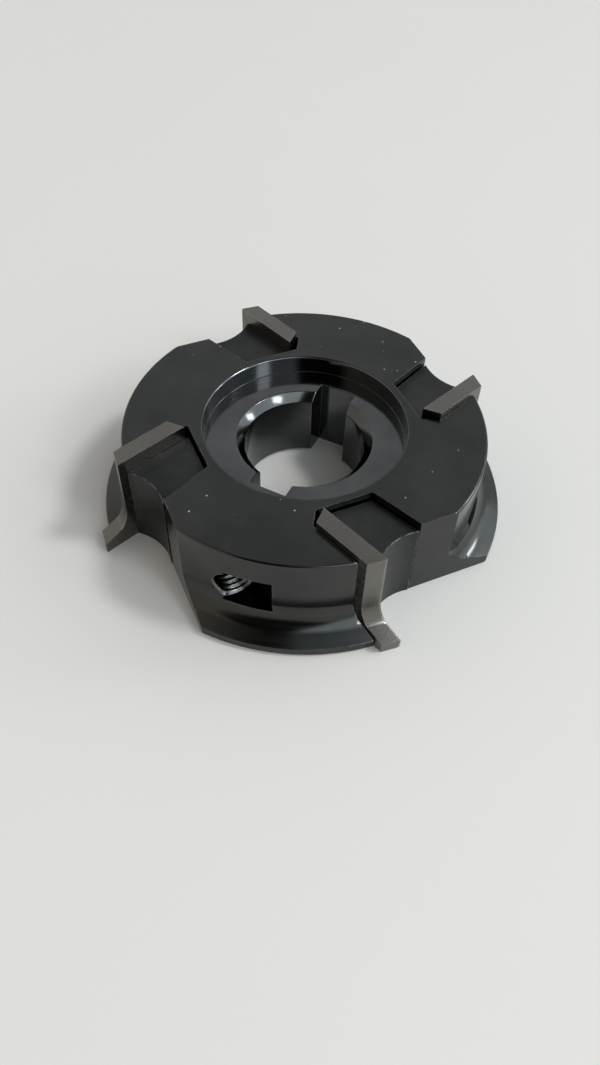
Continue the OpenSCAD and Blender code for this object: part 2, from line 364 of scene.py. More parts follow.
def new_piece(name, vertices, faces, matrix=Matrix.Identity(4)):
    """A mesh object with its normals outwards."""
    mesh = bpy.data.meshes.new(name)
    mesh.from_pydata([matrix @ Vector(v) for v in vertices], [], faces)
    shape = bmesh.new()
    shape.from_mesh(mesh)
    bmesh.ops.recalc_face_normals(shape, faces=shape.faces)
    shape.to_mesh(mesh)
    shape.free()
    piece = bpy.data.objects.new(name, mesh)
    bpy.context.scene.collection.objects.link(piece)
    return piece


def loft(name, rings, matrix=Matrix.Identity(4), closed=False):
    """A solid through rings of equally many points. A closed one joins its last ring
    to its first, and has no ends."""
    count = len(rings[0])
    vertices = [point for ring in rings for point in ring]
    last = len(rings) if closed else len(rings) - 1
    faces = []
    for i in range(last):
        near, beyond = i * count, (i + 1) % len(rings) * count
        for j in range(count):
            k = (j + 1) % count
            faces.append((near + j, near + k, beyond + k, beyond + j))
    if not closed:
        faces.append(tuple(range(count)))
        faces.append(tuple(range(len(vertices) - count, len(vertices))))
    return new_piece(name, vertices, faces, matrix)


def prism(name, outline, low, high, matrix=Matrix.Identity(4)):
    """An upright solid on a plan outline."""
    return loft(name, [[(x, y, z) for x, y in outline] for z in (low, high)], matrix)


def block(name, low, high, matrix=Matrix.Identity(4)):
    """A cutting block between two corners."""
    outline = [(low[0], low[1]), (high[0], low[1]), (high[0], high[1]), (low[0], high[1])]
    return prism(name, outline, low[2], high[2], matrix)


def turned(name, profile, steps, matrix=Matrix.Identity(4), closed=False):
    """A solid of rings about the z axis, from points of radius and height."""
    rings = []
    for radius, z in profile:
        rings.append([(radius * math.cos(math.tau * j / steps),
                       radius * math.sin(math.tau * j / steps), z) for j in range(steps)])
    return loft(name, rings, matrix, closed)


def bake_modifiers(piece):
    """Makes what the modifiers give the piece's own mesh."""
    graph = bpy.context.evaluated_depsgraph_get()
    made = bpy.data.meshes.new_from_object(piece.evaluated_get(graph))
    old = piece.data
    piece.modifiers.clear()
    piece.data = made
    made.name = piece.name
    bpy.data.meshes.remove(old)


def cut(piece, cutters):
    """Takes the cutting solids out of the piece, one after the other."""
    for tool in cutters:
        step = piece.modifiers.new("cut", "BOOLEAN")
        step.operation = "DIFFERENCE"
        step.solver = "EXACT"
        step.object = tool
    bake_modifiers(piece)
    for tool in cutters:
        mesh = tool.data
        bpy.data.objects.remove(tool)
        bpy.data.meshes.remove(mesh)
    if not piece.data.polygons:
        raise RuntimeError(f"cutting left nothing of {piece.name}")


def tidy(piece):
    """Joins points that lie on each other and dissolves seams inside flat faces."""
    shape = bmesh.new()
    shape.from_mesh(piece.data)
    bmesh.ops.remove_doubles(shape, verts=shape.verts, dist=MERGE)
    bmesh.ops.dissolve_limit(
        shape, angle_limit=math.radians(FLAT_CORNER), verts=shape.verts, edges=shape.edges)
    bmesh.ops.recalc_face_normals(shape, faces=shape.faces)
    shape.to_mesh(piece.data)
    shape.free()


def break_corners(piece, width, spared=None):
    """Breaks the corners of the piece, apart from those whose middle a test spares."""
    shape = bmesh.new()
    shape.from_mesh(piece.data)
    weight = shape.edges.layers.float.new("bevel_weight_edge")
    for edge in shape.edges:
        middle = (edge.verts[0].co + edge.verts[1].co) / 2
        if spared is None or not spared(middle):
            edge[weight] = float(edge.calc_face_angle(0) > math.radians(BROKEN_CORNER))
    shape.to_mesh(piece.data)
    shape.free()
    bevel = piece.modifiers.new("broken edges", "BEVEL")
    bevel.width = width
    bevel.segments = 2
    bevel.limit_method = "WEIGHT"
    bevel.use_clamp_overlap = False
    bevel.miter_outer = "MITER_ARC"
    bake_modifiers(piece)


def soften(piece, width):
    """Breaks every corner of the piece, and shades it smooth between its edges."""
    break_corners(piece, width)
    shade(piece)


def shade(piece):
    """Smooth shading that keeps sharp corners."""
    piece.data.shade_smooth()
    piece.data.set_sharp_from_angle(angle=math.radians(SHARP_CORNER))
    weigh = piece.modifiers.new("even normals", "WEIGHTED_NORMAL")
    weigh.keep_sharp = True
    bake_modifiers(piece)


def dress(piece, materials, body, nodes):
    """Gives a piece its materials and its body, and hides the nodes that it stands for."""
    for material in materials:
        piece.data.materials.append(material)
    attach(piece, body)
    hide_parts(*nodes)


def thread_radius(turn, z, crest, depth, pitch):
    """Radius of a right-hand thread at a height and a turn from 0 to 1."""
    phase = (z / pitch - turn) % 1
    flank = abs(phase - 0.5) * 2
    return crest - depth * min(max((flank - CREST_SHARE) / FLANK_SHARE, 0), 1)


# Shader node groups that several materials use

def new_group(name, inputs, outputs):
    """A node group with named sockets, and its two ends."""
    group = bpy.data.node_groups.new(name, "ShaderNodeTree")
    for label, kind, default in inputs:
        socket = group.interface.new_socket(label, in_out="INPUT", socket_type=kind)
        socket.default_value = default
    for label, kind in outputs:
        group.interface.new_socket(label, in_out="OUTPUT", socket_type=kind)
    return group, group.nodes.new("NodeGroupInput"), group.nodes.new("NodeGroupOutput")


def add(tree, kind, **values):
    """A node whose settings and numbered or named inputs are given."""
    node = tree.nodes.new(kind)
    for name, value in values.items():
        if name.startswith("in_"):
            key = name[3:]
            node.inputs[int(key) if key.isdigit() else key].default_value = value
        else:
            setattr(node, name, value)
    return node


def curve(tree, source, low, high, to_low=0.0, to_high=1.0):
    """Maps a value from one range to another, clamped."""
    node = add(tree, "ShaderNodeMapRange", in_1=low, in_2=high, in_3=to_low, in_4=to_high)
    tree.links.new(source, node.inputs[0])
    return node.outputs[0]


def spread(tree, noise, to_low=0.0, to_high=1.0):
    """Maps the values that a noise texture mostly gives to a range."""
    return curve(tree, noise, NOISE_LOW, NOISE_HIGH, to_low, to_high)


def maths(tree, operation, *sources):
    """A maths node on sockets or numbers."""
    node = add(tree, "ShaderNodeMath", operation=operation)
    for i, source in enumerate(sources):
        if isinstance(source, (int, float)):
            node.inputs[i].default_value = source
        else:
            tree.links.new(source, node.inputs[i])
    return node.outputs[0]


def blend_colours(tree, factor, first, second):
    """Mixes two colours, given as sockets or values, by a factor socket."""
    node = add(tree, "ShaderNodeMix", data_type="RGBA")
    tree.links.new(factor, node.inputs["Factor"])
    colours = [s for s in node.inputs if s.type == "RGBA"]
    for source, socket in zip((first, second), colours):
        if isinstance(source, bpy.types.NodeSocket):
            tree.links.new(source, socket)
        else:
            socket.default_value = source
    return next(s for s in node.outputs if s.type == "RGBA")


def edge_wear_group():
    """Mask of the corners that handling has rubbed bare, broken up by noise."""
    group, start, end = new_group(
        "Edge wear",
        [("Width", "NodeSocketFloat", 0.0003), ("Breakup", "NodeSocketFloat", 900.0),
         ("Amount", "NodeSocketFloat", 1.0)],
        [("Mask", "NodeSocketFloat")])
    links = group.links
    bevel = add(group, "ShaderNodeBevel", samples=4)
    links.new(start.outputs["Width"], bevel.inputs["Radius"])
    geometry = add(group, "ShaderNodeNewGeometry")
    dot = add(group, "ShaderNodeVectorMath", operation="DOT_PRODUCT")
    links.new(bevel.outputs[0], dot.inputs[0])
    links.new(geometry.outputs["Normal"], dot.inputs[1])
    bend = curve(group, dot.outputs["Value"], 0.995, 0.93)
    noise = add(group, "ShaderNodeTexNoise", in_Detail=3.0, in_Roughness=0.6)
    place_in = add(group, "ShaderNodeTexCoord")
    links.new(place_in.outputs["Object"], noise.inputs["Vector"])
    links.new(start.outputs["Breakup"], noise.inputs["Scale"])
    broken = curve(group, noise.outputs["Fac"], 0.38, 0.62)
    masked = maths(group, "MULTIPLY", bend, broken)
    links.new(maths(group, "MULTIPLY", masked, start.outputs["Amount"]), end.inputs["Mask"])
    return group


def specks_group():
    """Mask of small specks: dust, chips and nicks, one in some of the cells."""
    group, start, end = new_group(
        "Specks",
        [("Scale", "NodeSocketFloat", 400.0), ("Size", "NodeSocketFloat", 0.1),
         ("Share", "NodeSocketFloat", 0.1)],
        [("Mask", "NodeSocketFloat")])
    links = group.links
    place_in = add(group, "ShaderNodeTexCoord")
    cells = add(group, "ShaderNodeTexVoronoi")
    links.new(place_in.outputs["Object"], cells.inputs["Vector"])
    links.new(start.outputs["Scale"], cells.inputs["Scale"])
    apart = add(group, "ShaderNodeSeparateColor")
    links.new(cells.outputs["Color"], apart.inputs[0])
    chosen = maths(group, "LESS_THAN", apart.outputs[0], start.outputs["Share"])
    reach = maths(group, "MULTIPLY", start.outputs["Size"], apart.outputs[1])
    near = maths(group, "LESS_THAN", cells.outputs["Distance"], reach)
    links.new(maths(group, "MULTIPLY", chosen, near), end.inputs["Mask"])
    return group


def grinding_group():
    """Height of fine grinding lines that run along one direction."""
    group, start, end = new_group(
        "Grinding lines",
        [("Stretch", "NodeSocketVector", (60.0, 9000.0, 9000.0)),
         ("Turn", "NodeSocketVector", (0.0, 0.0, 0.0))],
        [("Height", "NodeSocketFloat")])
    links = group.links
    place_in = add(group, "ShaderNodeTexCoord")
    turn = add(group, "ShaderNodeMapping")
    links.new(place_in.outputs["Object"], turn.inputs["Vector"])
    links.new(start.outputs["Turn"], turn.inputs["Rotation"])
    stretch = add(group, "ShaderNodeVectorMath", operation="MULTIPLY")
    links.new(turn.outputs[0], stretch.inputs[0])
    links.new(start.outputs["Stretch"], stretch.inputs[1])
    noise = add(group, "ShaderNodeTexNoise", in_Scale=1.0, in_Detail=4.0, in_Roughness=0.65)
    links.new(stretch.outputs[0], noise.inputs["Vector"])
    links.new(noise.outputs["Fac"], end.inputs["Height"])
    return group


def turning_group():
    """Height of the rings that a lathe tool leaves about the z axis."""
    group, start, end = new_group(
        "Turning rings",
        [("Feed", "NodeSocketFloat", 9000.0)],
        [("Height", "NodeSocketFloat")])
    links = group.links
    place_in = add(group, "ShaderNodeTexCoord")
    apart = add(group, "ShaderNodeSeparateXYZ")
    links.new(place_in.outputs["Object"], apart.inputs[0])
    radius = maths(group, "SQRT", maths(
        group, "ADD", maths(group, "POWER", apart.outputs[0], 2.0),
        maths(group, "POWER", apart.outputs[1], 2.0)))
    along = maths(group, "ADD", radius, maths(group, "MULTIPLY", apart.outputs[2], 1.7))
    noise = add(group, "ShaderNodeTexNoise", noise_dimensions="1D", in_Detail=3.0,
                in_Roughness=0.6)
    links.new(maths(group, "MULTIPLY", along, start.outputs["Feed"]), noise.inputs["W"])
    noise.inputs["Scale"].default_value = 1.0
    links.new(noise.outputs["Fac"], end.inputs["Height"])
    return group


def mottle_group():
    """Soft cloudy variation at two scales, about one half."""
    group, start, end = new_group(
        "Mottle",
        [("Coarse", "NodeSocketFloat", 90.0), ("Fine", "NodeSocketFloat", 1800.0)],
        [("Cloud", "NodeSocketFloat"), ("Grain", "NodeSocketFloat")])
    links = group.links
    place_in = add(group, "ShaderNodeTexCoord")
    for scale, output in (("Coarse", "Cloud"), ("Fine", "Grain")):
        noise = add(group, "ShaderNodeTexNoise", in_Detail=4.0, in_Roughness=0.6)
        links.new(place_in.outputs["Object"], noise.inputs["Vector"])
        links.new(start.outputs[scale], noise.inputs["Scale"])
        links.new(noise.outputs["Fac"], end.inputs[output])
    return group


# The shared node groups that have been built, by name
GROUPS = {}


def use(tree, name, **values):
    """Places a shared node group in a material, with this material's own values."""
    makers = {
        "Edge wear": edge_wear_group, "Specks": specks_group, "Mottle": mottle_group,
        "Grinding lines": grinding_group, "Turning rings": turning_group}
    if name not in GROUPS:
        GROUPS[name] = makers[name]()
    node = add(tree, "ShaderNodeGroup", node_tree=GROUPS[name])
    for label, value in values.items():
        node.inputs[label].default_value = value
    return node


def rgba(value):
    return (*value, 1.0)


def steel(name, base, varied, rough, rings=None, lines=None, wear=0.0, specks=0.0,
          grain=0.1):
    """A steel finish: two tones, its tool marks, worn edges and specks of dust."""
    finish = bpy.context.scene.mill_finish
    material = bpy.data.materials.new(name)
    material.use_nodes = True
    tree = material.node_tree
    links = tree.links
    shader = tree.nodes["Principled BSDF"]
    shader.inputs["Metallic"].default_value = 1.0
    cloud = use(tree, "Mottle")
    tone = spread(tree, cloud.outputs["Cloud"])
    tint = blend_colours(tree, tone, rgba(base), rgba(varied))
    grainy = spread(tree, cloud.outputs["Grain"], 1 - grain, 1 + grain)
    marks = None
    if rings:
        marks = use(tree, "Turning rings", Feed=rings[0]).outputs["Height"]
    elif lines:
        marks = use(tree, "Grinding lines", Stretch=lines[0], Turn=lines[1]).outputs["Height"]
    strength = (rings or lines or (0, 0, 0))[-1]
    mask = None
    if wear:
        mask = use(tree, "Edge wear", Amount=wear).outputs["Mask"]
        tint = blend_colours(tree, mask, tint, rgba(finish.bare_edge))
    if specks:
        dust = use(tree, "Specks", Share=specks, Scale=900.0, Size=0.16).outputs["Mask"]
        up = add(tree, "ShaderNodeNewGeometry")
        apart = add(tree, "ShaderNodeSeparateXYZ")
        links.new(up.outputs["Normal"], apart.inputs[0])
        lying = maths(tree, "MULTIPLY", dust, curve(tree, apart.outputs[2], 0.3, 0.8, 0.15, 1))
        tint = blend_colours(tree, lying, tint, rgba(finish.dust))
    links.new(tint, shader.inputs["Base Color"])
    roughness = maths(tree, "MULTIPLY", grainy, rough)
    if marks is not None:
        roughness = maths(tree, "ADD", roughness, spread(tree, marks, -0.04, 0.04))
    if mask is not None:
        roughness = maths(tree, "SUBTRACT", roughness, maths(tree, "MULTIPLY", mask, rough * 0.3))
    links.new(roughness, shader.inputs["Roughness"])
    bump = add(tree, "ShaderNodeBump", in_Strength=strength if marks is not None else 0.12,
               in_Distance=0.00002)
    links.new(marks if marks is not None else cloud.outputs["Grain"], bump.inputs["Height"])
    links.new(bump.outputs[0], shader.inputs["Normal"])
    return material


# The pieces

def body_section(at):
    """Half section of the body as a closed outline of radius and height."""
    body = at.body
    rim_r, bevel = BODY_BOX[1].x, body.edge_bevel
    slope, flare = body.flare_slope, body.flare_radius
    flare_z = body.rim_height + (
        (rim_r - at.body_r - flare) * math.sin(slope) + flare) / math.cos(slope)
    bore_r = body.bore_diameter / 2
    lip_r = at.counterbore_r + body.counterbore_bevel
    flare_curve = arc((at.body_r + flare, flare_z), flare,
                      math.radians(270) - slope, math.radians(180), 10)
    return [
        (bore_r + body.foot_bevel, 0),
        (rim_r - bevel, 0),
        (rim_r, bevel),
        (rim_r, body.rim_height),
        *flare_curve,
        (at.body_r, at.height - bevel),
        (at.body_r - bevel, at.height),
        (lip_r, at.height),
        (at.counterbore_r, at.height - body.counterbore_bevel),
        (at.counterbore_r, at.floor_z),
        (bore_r + body.bore_bevel, at.floor_z),
        (bore_r, at.floor_z - body.bore_bevel),
        (bore_r, body.foot_bevel),
    ]


def gap_plan(at):
    """Plan of one gap and of the flat cut behind it."""
    body, knife = at.body, at.knife
    corner_y = -knife.rake_offset - body.gap_corner
    back_x = at.knife_start + knife.thickness * math.tan(knife.end_slant) - knife.end_gap / 2
    back_y = -at.seat - SKIN
    facing = (math.cos(body.flat_turn), math.sin(body.flat_turn))
    flat_reach = at.body_r - body.flat_inset
    slope = math.tan(body.gap_tilt)
    wall_at_zero = at.far_wall_y(0)
    flat_x = (flat_reach - facing[1] * wall_at_zero) / (facing[0] + facing[1] * slope)
    flat_y = at.far_wall_y(flat_x)
    return [
        (at.gap_start, at.far_wall_y(at.gap_start)),
        (at.inner_wall_x(corner_y), corner_y),
        (back_x, back_y),
        (FAR, back_y),
        (flat_x - facing[1] * FAR, flat_y + facing[0] * FAR),
        (flat_x, flat_y),
    ]


def hole_cutters(at, number):
    """The solids that one tapped hole, its pocket and the pin holes take out of the body."""
    turn = place(number)
    depth = at.pocket_floor
    start, inner, outer, end = [], [], [], []
    for j in range(HOLE_STEPS):
        angle = math.tau * j / HOLE_STEPS
        chamfer = at.mouth_chamfer(angle)
        wide = at.hole_r + chamfer
        past = wide + SKIN
        toward = (math.cos(angle), math.sin(angle))
        start.append((at.hole_r * toward[0], at.hole_r * toward[1], 0))
        inner.append((at.hole_r * toward[0], at.hole_r * toward[1],
                      at.mouth_height(angle, at.hole_r) - chamfer))
        outer.append((past * toward[0], past * toward[1], at.mouth_height(angle, wide) + SKIN))
        end.append((past * toward[0], past * toward[1], depth + OVER))
    low = (at.screw_reach - at.pocket_r, depth, at.screw.height - at.pocket_r)
    high = (FAR, FAR, at.screw.height + at.pocket_r)
    tools = [loft("hole", [start, inner, outer, end], turn @ at.screw_axis()),
             block("pocket", low, high, at.tilted(number))]
    pin_r = at.screw.pin_diameter / 2
    for height in (at.screw.lower_pin, at.screw.upper_pin):
        seat = (turn @ Matrix.Translation((at.screw.pin_along, OVER - at.seat, height))
                @ Matrix.Rotation(math.radians(90), 4, "X"))
        tools.append(turned("pin hole", [(pin_r, 0), (pin_r, at.screw.pin_seat + OVER)],
                            SMALL_STEPS, seat))
    return tools


def thread_liner(at, number):
    """The tapped wall of one screw hole, a tube with the thread inside."""
    screw = at.screw
    steps = SMALL_STEPS
    start = at.far_wall_y(at.screw_reach) / math.cos(screw.tilt)
    start += at.screw_reach * math.tan(screw.tilt) + LINER_START
    count = math.ceil((at.pocket_floor - start) / screw.pitch * RINGS_PER_PITCH)
    outer = at.hole_r + LINER_OVERLAP
    widest = at.hole_r - LINER_INSET
    turns = [math.tau * j / steps for j in range(steps)]
    ends = [at.mouth_height(turn, outer) - at.mouth_chamfer(turn) for turn in turns]
    rings = []
    for i in range(count + 1):
        ring = []
        for turn, end in zip(turns, ends):
            z = start + (end - start) * i / count
            radius = screw.thread_gap + thread_radius(
                turn / math.tau, z - at.screw_tip, at.screw_r - SKIN,
                screw.thread_depth, screw.pitch)
            radius = min(max(radius, at.hole_r - (end - z)), widest)
            ring.append((radius * math.cos(turn), radius * math.sin(turn), z))
        rings.append(ring)
    for levels in (ends, [start] * steps):
        rings.append([(outer * math.cos(turn), outer * math.sin(turn), z)
                      for turn, z in zip(turns, levels)])
    return loft("tapped wall", rings, place(number) @ at.screw_axis(), closed=True)


def join(piece, others, material_index):
    """Joins other solids into a piece's mesh, with their own material."""
    shape = bmesh.new()
    shape.from_mesh(piece.data)
    before = len(shape.faces)
    for other in others:
        shape.from_mesh(other.data)
        mesh = other.data
        bpy.data.objects.remove(other)
        bpy.data.meshes.remove(mesh)
    shape.faces.ensure_lookup_table()
    for face in shape.faces[before:]:
        face.material_index = material_index
        face.smooth = True
    shape.to_mesh(piece.data)
    shape.free()


def mark_finishes(piece, at):
    """Marks the flat ends satin, the counterbore, bore and keyways bare turned, the access
    pockets with near-black painted shade, and the chamfers of the tapped holes as bright as their
    walls."""
    in_pocket = [at.tilted(number).inverted() for number in PLACES]
    for face in piece.data.polygons:
        centre = face.center
        radius = math.hypot(centre.x, centre.y)
        if centre.z > at.height - SKIN or centre.z < SKIN:
            face.material_index = SATIN
        elif radius < at.counterbore_r + at.body.counterbore_bevel:
            face.material_index = TURNED
        elif radius < at.body_r - SKIN:
            for back in in_pocket:
                local = back @ centre
                off_axis = math.hypot(local.x - at.screw_reach, local.z - at.screw.height)
                in_wall = local.y > at.screw_tip + at.screw.length / 2
                sloping = 0.2 < abs((back.to_3x3() @ face.normal).y) < 0.98
                # Faces inside an access pocket get the painted shade material
                if (local.x > at.screw_reach - at.pocket_r - SKIN
                        and local.y > at.pocket_floor - SKIN
                        and abs(local.z - at.screw.height) < at.pocket_r + SKIN):
                    face.material_index = POCKET
                if in_wall and sloping and off_axis < at.hole_r + at.screw.mouth_chamfer:
                    face.material_index = TAPPED


def build_body(scene):
    """The slotted body with its four tapped holes."""
    at = Layout(scene)
    finish = scene.mill_finish
    piece = turned("cutter_body_turned", body_section(at), BODY_STEPS, closed=True)
    key_r = at.body.bore_diameter / 2 + at.body.keyway_depth
    half = at.body.keyway_width / 2
    keys = block("keyways", (-key_r, -half, -OVER), (key_r, half, at.height + OVER),
                 Matrix.Rotation(at.body.keyway_angle, 4, "Z"))
    cut(piece, [keys])
    for number in PLACES:
        cut(piece, [prism("gap", gap_plan(at), -OVER, at.height + OVER, place(number))])
    tidy(piece)
    for number in PLACES:
        cut(piece, hole_cutters(at, number))
    break_corners(piece, at.body.fine_bevel, at.in_mouth)
    shade(piece)
    reach = Vector(piece.bound_box[6]) - BODY_BOX[1]
    if reach.length > at.body.edge_bevel:
        raise RuntimeError("the cut body doesn't fill its box")
    mark_finishes(piece, at)
    join(piece, [thread_liner(at, number) for number in PLACES], TAPPED)
    black = steel("black_oxide_turned", finish.black_steel, finish.black_worn, 0.17,
                  rings=(7000.0, 0.06), wear=0.35, specks=0.03)
    satin = steel("black_oxide_satin", finish.black_steel, finish.black_worn, 0.24,
                  wear=0.4, specks=0.08)
    bare = steel("turned_bore_steel", finish.turned_steel, finish.turned_pale, 0.12,
                 rings=(6000.0, 0.1), wear=0.3, specks=0.03, grain=0.06)
    tapped = steel("tapped_steel", finish.turned_pale, finish.ground_steel, 0.2, grain=0.15)
    # Painted shade: the access pockets get near-black colours that stand in for the shade inside
    # them
    pocket = steel("pocket_painted_shade", finish.pocket_painted_shade, finish.pocket_painted_shade_mottled, 0.3, grain=0.2)
    dress(piece, [black, bare, tapped, pocket, satin], "cutter", ["cutter_body"])


def knife_rings(at):
    """Outlines of a knife from its cutting face to its back."""
    knife = at.knife
    top = KNIFE_BOX[1].z
    curve_centre = (at.land_reach + knife.curve_radius, knife.curve_start)
    turned_to = math.pi + knife.curve_turn
    long_curve = arc(curve_centre, knife.curve_radius, math.pi, turned_to, 14)
    corner = (long_curve[-1][0] - knife.corner_radius * math.cos(turned_to),
              long_curve[-1][1] - knife.corner_radius * math.sin(turned_to))
    foot_turn = math.radians(270) - knife.foot_slope
    small_curve = arc(corner, knife.corner_radius, turned_to, foot_turn, 6)
    edge = [(at.land_reach, top), *long_curve, *small_curve[1:],
            (at.foot_reach, knife.foot_height), (at.foot_reach, 0)]
    rings = []
    land_shift = knife.land_width * math.tan(knife.land_relief)
    back_shift = knife.thickness * math.tan(knife.relief)
    for depth, shift in ((0, 0), (knife.land_width, land_shift), (knife.thickness, back_shift)):
        inner = at.knife_start + depth * math.tan(knife.end_slant)
        outline = [(inner, 0), (inner, top)] + [(x - shift, z) for x, z in edge]
        rings.append([(x, -knife.rake_offset - depth, z) for x, z in outline])
    return rings


def build_knives(scene):
    """The four profile knives, each with its land, relief and pin groove."""
    at = Layout(scene)
    finish, knife = scene.mill_finish, at.knife
    # The warm tint of these knife colours is a painted reflection of the warm floor
    ground = steel("ground_knife_steel", finish.ground_steel, finish.ground_dull, 0.26,
                   lines=((120.0, 16000.0, 16000.0), (0.0, 0.0, 0.0), 0.35), wear=0.5,
                   specks=0.01, grain=0.08)
    land = steel("honed_land_steel", finish.land_steel, finish.ground_steel, 0.22,
                 lines=((9000.0, 9000.0, 200.0), (0.0, 0.0, 0.0), 0.2), grain=0.05)
    for number in PLACES:
        piece = loft(f"knife_{number}_ground", knife_rings(at))
        half = knife.groove_width / 2
        back = -at.seat
        tools = [
            block("groove", (knife.groove_along - half, back - OVER, -OVER),
                  (knife.groove_along + half, back + knife.groove_depth, knife.groove_top)),
            turned("groove end", [(half, 0), (half, knife.groove_depth + OVER)], SMALL_STEPS,
                   Matrix.Translation((knife.groove_along, back + knife.groove_depth,
                                       knife.groove_top))
                   @ Matrix.Rotation(math.radians(90), 4, "X"))]
        cut(piece, tools)
        tidy(piece)
        soften(piece, knife.edge_break)
        land_back = -knife.rake_offset - knife.land_width
        for face in piece.data.polygons:
            on_edge = face.center.y > land_back - SKIN and face.normal.y < 0.9
            outside = face.center.x > at.land_reach - knife.thickness and face.normal.z < 0.9
            if on_edge and outside:
                face.material_index = LAND
        piece.matrix_world = place(number)
        dress(piece, [ground, land], f"knife_{number}", [f"knife_{number}"])


def wedge_plan(at):
    """Plan of a wedge, with its hollow outer face."""
    wedge, knife = at.wedge, at.knife
    front = -knife.rake_offset + SKIN
    centre_x = at.body_r - wedge.hollow_inset + wedge.hollow_radius
    centre = (centre_x, -wedge.hollow_offset)
    radius = wedge.hollow_radius
    low_turn = math.pi + math.asin((-wedge.hollow_offset - front) / radius)
    slope = math.tan(at.body.gap_tilt)
    wall = at.far_wall_y(centre_x) - wedge.side_gap
    rise = wall + wedge.hollow_offset
    # Where the hollow meets the far side, as the root of a quadratic in x from the centre
    a, b, c = 1 + slope ** 2, 2 * slope * rise, rise ** 2 - radius ** 2
    x = (-b - math.sqrt(b * b - 4 * a * c)) / (2 * a)
    high_turn = math.atan2(rise + slope * x, x)
    inner_low = (at.inner_wall_x(-knife.rake_offset) + wedge.end_gap, front)
    inner_high = (at.gap_start + wedge.end_gap, at.far_wall_y(at.gap_start) - wedge.side_gap)
    return [inner_high, inner_low, *arc(centre, radius, low_turn, high_turn, 24)]


def build_wedges(scene):
    """The four clamping wedges."""
    at = Layout(scene)
    finish = scene.mill_finish
    black = steel("black_wedge_steel", finish.wedge_steel, finish.black_worn, 0.42,
                  lines=((6000.0, 90.0, 6000.0), (0.0, 0.0, 0.0), 0.22), wear=0.6, specks=0.04)
    seat_r = at.screw_r + at.wedge.seat_clearance
    for number in PLACES:
        piece = prism(f"wedge_{number}_milled", wedge_plan(at), 0, WEDGE_BOX[1].z)
        axis = at.screw_axis()
        lift = Matrix.Rotation(-at.screw.tilt, 4, "Z")
        tools = [
            turned("seat", [(seat_r, at.screw_tip), (seat_r, FAR)], SEAT_STEPS, axis),
            block("lift groove", (at.screw_reach - seat_r, at.screw_tip, -OVER),
                  (at.screw_reach + seat_r, FAR, at.screw.height), lift)]
        cut(piece, tools)
        tidy(piece)
        soften(piece, at.wedge.edge_break)
        piece.matrix_world = place(number)
        dress(piece, [black], f"wedge_{number}", [f"wedge_{number}"])


def hexagon_radius(turn, width):
    """Distance from a hexagon's middle to its side at an angle."""
    within = (turn + math.radians(30)) % math.radians(60) - math.radians(30)
    return width / 2 / math.cos(within)


def screw_rings(at):
    """Rings of a set screw from its cup point, over the thread, into the hexagon socket."""
    screw = at.screw
    long, crest = screw.length, at.screw_r - SKIN
    root = crest - screw.thread_depth
    start = SKIN
    rings = []

    def ring(radius_at, z):
        turns = [math.tau * j / SCREW_STEPS for j in range(SCREW_STEPS)]
        rings.append([(radius_at(t) * math.cos(t), radius_at(t) * math.sin(t), z) for t in turns])

    cup_r, cup_depth = 0.55 * root, 0.35 * MM
    ring(lambda t: 0.15 * cup_r, start + cup_depth)
    ring(lambda t: cup_r * 0.55, start + cup_depth)
    ring(lambda t: cup_r, start)
    ring(lambda t: root - cup_depth, start)
    end_bevel = 0.3 * MM
    count = math.ceil(long / screw.pitch * RINGS_PER_PITCH)
    for i in range(count + 1):
        z = start + (long - SKIN) * i / count
        reach = min(z - start, long - z) + root - end_bevel
        ring(lambda t: min(reach, thread_radius(
            t / math.tau, z, crest, screw.thread_depth, screw.pitch)), z)
    width, mouth_bevel = screw.socket_width, 0.2 * MM
    ring(lambda t: hexagon_radius(t, width) + 1.1 * mouth_bevel, long)
    ring(lambda t: hexagon_radius(t, width), long - mouth_bevel)
    bottom = long - screw.socket_depth
    drilled = 0.55 * MM
    ring(lambda t: hexagon_radius(t, width), bottom + drilled + 0.05 * MM)
    ring(lambda t: 0.42 * width, bottom + drilled)
    ring(lambda t: 0.05 * width, bottom)
    return rings


def build_screws(scene):
    """The four set screws with their threads, cup points and hexagon sockets."""
    at = Layout(scene)
    finish = scene.mill_finish
    dark = steel("screw_steel", finish.screw_steel, finish.black_worn, 0.33, wear=0.7, grain=0.15)
    for number in PLACES:
        piece = loft(f"clamp_screw_{number}_threaded", screw_rings(at))
        piece.data.shade_smooth()
        piece.data.set_sharp_from_angle(angle=math.radians(THREAD_CORNER))
        piece.matrix_world = (place(number) @ at.screw_axis()
                              @ Matrix.Translation((0, 0, at.screw_tip)))
        dress(piece, [dark], f"clamp_screw_{number}", [f"clamp_screw_{number}"])


def finish_pins(scene):
    """The pins keep their own meshes and get a ground finish."""
    finish = scene.mill_finish
    bright = steel("ground_pin_steel", finish.pin_steel, finish.bare_edge, 0.22,
                   lines=((9000.0, 9000.0, 9000.0), (0.0, 0.0, 0.0), 0.1), grain=0.05)
    for number in PLACES:
        for level in ("lower", "upper"):
            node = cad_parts[f"{level}_pin_{number}"]
            node.data.materials.clear()
            node.data.materials.append(bright)


# The stage

